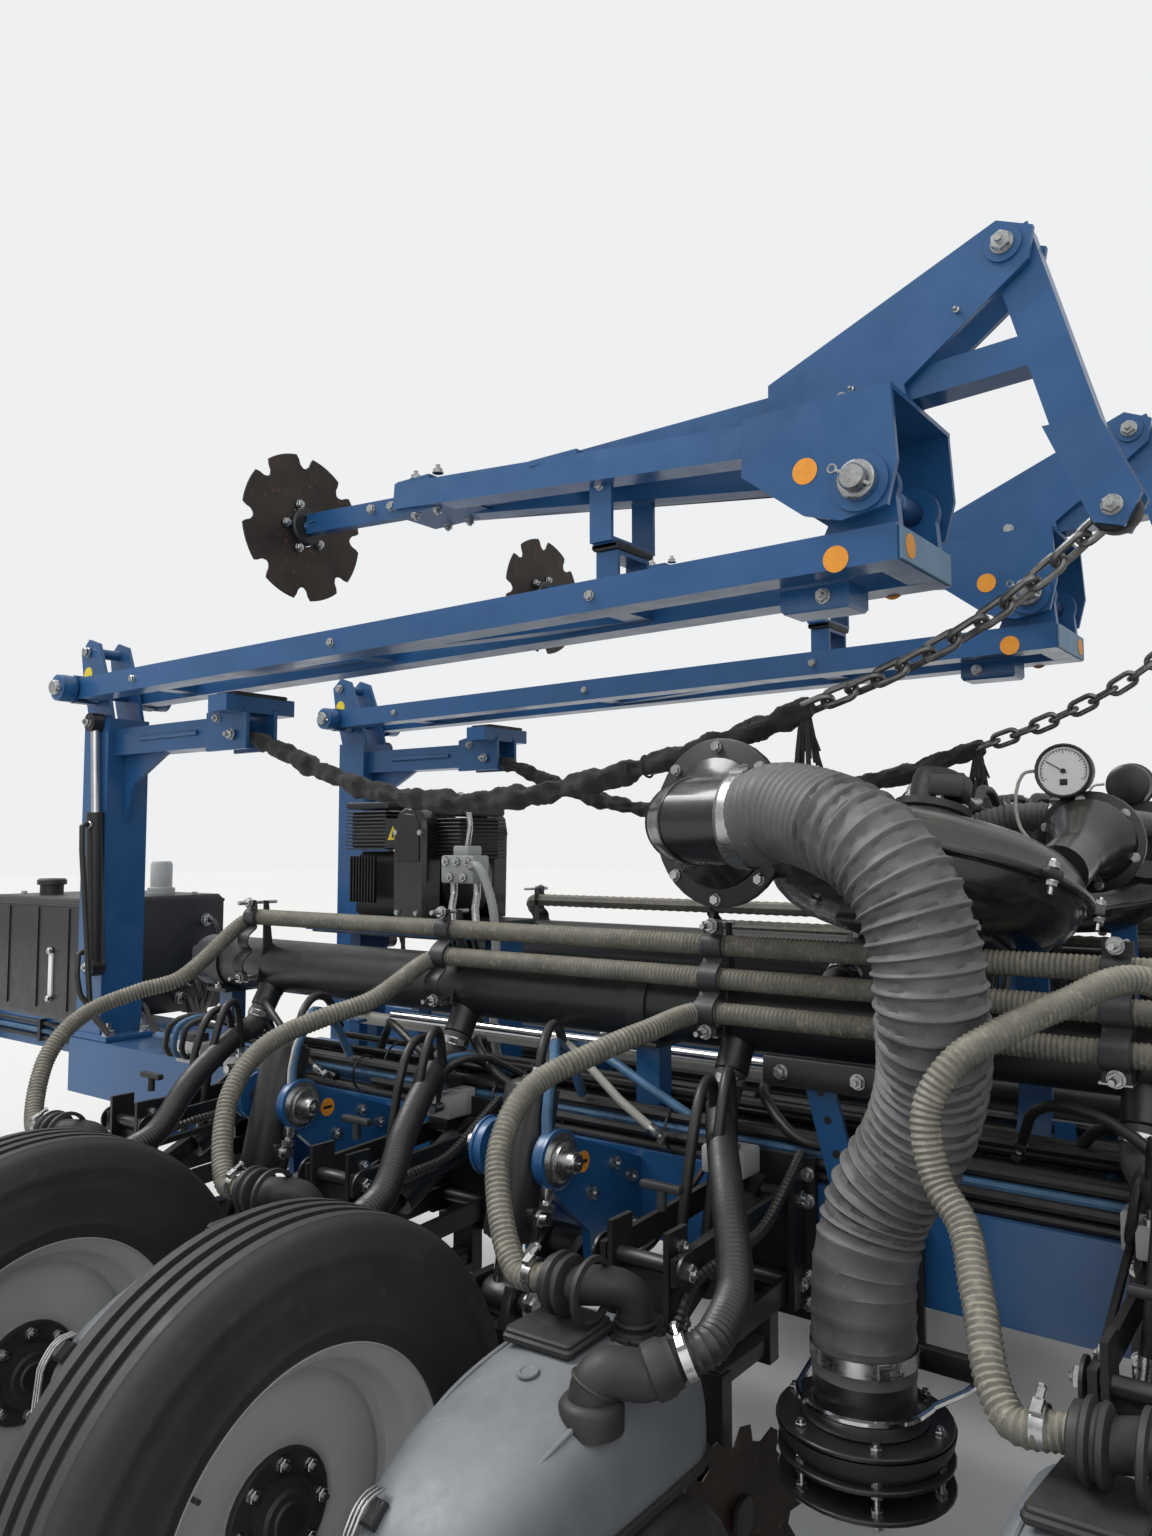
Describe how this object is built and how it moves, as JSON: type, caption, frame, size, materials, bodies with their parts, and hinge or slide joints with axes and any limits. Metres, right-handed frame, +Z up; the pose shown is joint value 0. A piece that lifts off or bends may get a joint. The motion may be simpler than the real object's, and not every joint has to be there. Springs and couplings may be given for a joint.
{
  "type": "folded seed planter",
  "caption": "Front-folding seed planter with its wings folded forward: row units, marker arms, vacuum fans, hoses, seed tanks and transport wheels.",
  "frame": {"origin": "on the ground, under the middle of the machine's box", "axes": "+X towards the hitch, +Y to the machine's left, +Z up"},
  "size_m": [11.8518, 3.9596, 2.81],
  "materials": {
    "blue_paint": "semi-gloss blue",
    "black_paint": "satin black",
    "gloss_black": "gloss",
    "grey_cover": "moulded grey",
    "rubber": "matte",
    "tyre": "matte",
    "rim_silver": "silver paint",
    "steel": "steel",
    "worn_steel": "dark, rusty edges",
    "hose_tan": "ribbed hose",
    "hose_black": "ribbed hose",
    "tank": "moulded"
  },
  "bodies": {
    "center_frame": {"center_frame": "blue_paint", "power_unit": "black_paint", "platform": "black_paint", "seed_tank_l": "tank", "seed_tank_r": "tank", "center_row_frames": "black_paint", "center_row_discs": "worn_steel", "center_row_wheels": "rubber", "center_meter_covers": "grey_cover"},
    "tongue": {"tongue": "blue_paint", "oil_tank": "black_paint"},
    "jack_leg": {"jack_leg": "steel"},
    "tank_lid_l": {"tank_lid_l": "black_paint"},
    "transport_arm_l": {"transport_arm_l": "blue_paint"},
    "transport_wheel_l": {"transport_rim_l": "rim_silver", "transport_tyre_l": "tyre"},
    "wing_l": {"wing_toolbar_l": "blue_paint", "marker_post_l": "blue_paint", "marker_chain_l": "steel", "lift_cylinders_l": "black_paint", "row_frames_l": "black_paint", "row_discs_l": "worn_steel", "row_wheels_l": "rubber", "meter_covers_l": "grey_cover", "manifold_l": "black_paint", "seed_hoses_l": "hose_tan", "air_hoses_l": "hose_black", "fan_l": "gloss_black", "diffuser_l": "black_paint"},
    "marker_arm_l": {"marker_arm_l": "blue_paint"},
    "marker_boom_l": {"marker_boom_l": "blue_paint"},
    "marker_disc_l": {"marker_disc_l": "worn_steel"},
    "wheel_arms_l": {"wheel_arms_l": "black_paint"},
    "wing_wheels_l": {"wing_rims_l": "rim_silver", "wing_tyres_l": "tyre"},
    "tank_lid_r": {"tank_lid_r": "black_paint"},
    "transport_arm_r": {"transport_arm_r": "blue_paint"},
    "transport_wheel_r": {"transport_rim_r": "rim_silver", "transport_tyre_r": "tyre"},
    "wing_r": {"wing_toolbar_r": "blue_paint", "marker_post_r": "blue_paint", "marker_chain_r": "steel", "lift_cylinders_r": "black_paint", "row_frames_r": "black_paint", "row_discs_r": "worn_steel", "row_wheels_r": "rubber", "meter_covers_r": "grey_cover", "manifold_r": "black_paint", "seed_hoses_r": "hose_tan", "air_hoses_r": "hose_black", "fan_r": "gloss_black", "diffuser_r": "black_paint"},
    "marker_arm_r": {"marker_arm_r": "blue_paint"},
    "marker_boom_r": {"marker_boom_r": "blue_paint"},
    "marker_disc_r": {"marker_disc_r": "worn_steel"},
    "wheel_arms_r": {"wheel_arms_r": "black_paint"},
    "wing_wheels_r": {"wing_rims_r": "rim_silver", "wing_tyres_r": "tyre"}
  },
  "joints": [
    {"name": "tongue_slide", "type": "slide", "parent": "center_frame", "child": "tongue", "axis": [-1, 0, 0], "range_m": [0, 1]},
    {"name": "jack_slide", "type": "slide", "parent": "tongue", "child": "jack_leg", "axis": [0, 0, 1], "range_m": [0, 0.4]},
    {"name": "tank_lid_l", "type": "hinge", "parent": "center_frame", "child": "tank_lid_l", "pos_m": [-4.179, 0.545, 2.641], "axis": [0, 1, 0], "range_deg": [0, 105]},
    {"name": "transport_lift_l", "type": "hinge", "parent": "center_frame", "child": "transport_arm_l", "pos_m": [-4.594, 0.762, 0.76], "axis": [0, 1, 0], "range_deg": [0, 35]},
    {"name": "transport_wheel_l", "type": "hinge", "parent": "transport_arm_l", "child": "transport_wheel_l", "pos_m": [-5.184, 0.762, 0.535], "axis": [0, 1, 0], "continuous": true},
    {"name": "wing_fold_l", "type": "hinge", "parent": "center_frame", "child": "wing_l", "pos_m": [-3.034, 0.42, 0.915], "axis": [0, 0, 1], "range_deg": [0, 90]},
    {"name": "marker_stage_1_l", "type": "hinge", "parent": "wing_l", "child": "marker_arm_l", "pos_m": [3.296, 0.57, 2.178], "axis": [0, 1, 0], "range_deg": [0, 190], "deforming": ["marker_chain_l"]},
    {"name": "marker_stage_2_l", "type": "hinge", "parent": "marker_arm_l", "child": "marker_boom_l", "pos_m": [0.486, 0.57, 2.325], "axis": [0, -1, 0], "range_deg": [0, 178]},
    {"name": "marker_disc_l", "type": "hinge", "parent": "marker_boom_l", "child": "marker_disc_l", "pos_m": [2.286, 0.57, 2.592], "axis": [1, 0, 0], "continuous": true},
    {"name": "wing_wheel_lift_l", "type": "hinge", "parent": "wing_l", "child": "wheel_arms_l", "pos_m": [1.466, 0.785, 0.82], "axis": [-1, 0, 0], "range_deg": [0, 13]},
    {"name": "wing_wheels_l", "type": "hinge", "parent": "wheel_arms_l", "child": "wing_wheels_l", "pos_m": [1.499, 1.53, 0.63], "axis": [1, 0, 0], "continuous": true},
    {"name": "tank_lid_r", "type": "hinge", "parent": "center_frame", "child": "tank_lid_r", "pos_m": [-4.179, -0.545, 2.641], "axis": [0, 1, 0], "range_deg": [0, 105]},
    {"name": "transport_lift_r", "type": "hinge", "parent": "center_frame", "child": "transport_arm_r", "pos_m": [-4.594, -0.762, 0.76], "axis": [0, 1, 0], "range_deg": [0, 35]},
    {"name": "transport_wheel_r", "type": "hinge", "parent": "transport_arm_r", "child": "transport_wheel_r", "pos_m": [-5.184, -0.762, 0.535], "axis": [0, 1, 0], "continuous": true},
    {"name": "wing_fold_r", "type": "hinge", "parent": "center_frame", "child": "wing_r", "pos_m": [-3.034, -0.42, 0.915], "axis": [0, 0, -1], "range_deg": [0, 90]},
    {"name": "marker_stage_1_r", "type": "hinge", "parent": "wing_r", "child": "marker_arm_r", "pos_m": [3.296, -0.57, 2.178], "axis": [0, 1, 0], "range_deg": [0, 190], "deforming": ["marker_chain_r"]},
    {"name": "marker_stage_2_r", "type": "hinge", "parent": "marker_arm_r", "child": "marker_boom_r", "pos_m": [0.486, -0.57, 2.325], "axis": [0, -1, 0], "range_deg": [0, 178]},
    {"name": "marker_disc_r", "type": "hinge", "parent": "marker_boom_r", "child": "marker_disc_r", "pos_m": [2.286, -0.57, 2.592], "axis": [1, 0, 0], "continuous": true},
    {"name": "wing_wheel_lift_r", "type": "hinge", "parent": "wing_r", "child": "wheel_arms_r", "pos_m": [1.466, -0.785, 0.82], "axis": [1, 0, 0], "range_deg": [0, 13]},
    {"name": "wing_wheels_r", "type": "hinge", "parent": "wheel_arms_r", "child": "wing_wheels_r", "pos_m": [1.499, -1.53, 0.63], "axis": [1, 0, 0], "continuous": true}
  ],
  "couplings": [
    {"joint": "marker_stage_2_l", "follows": "marker_stage_1_l", "ratio": 0.93684},
    {"joint": "marker_stage_2_r", "follows": "marker_stage_1_r", "ratio": 0.93684}
  ]
}
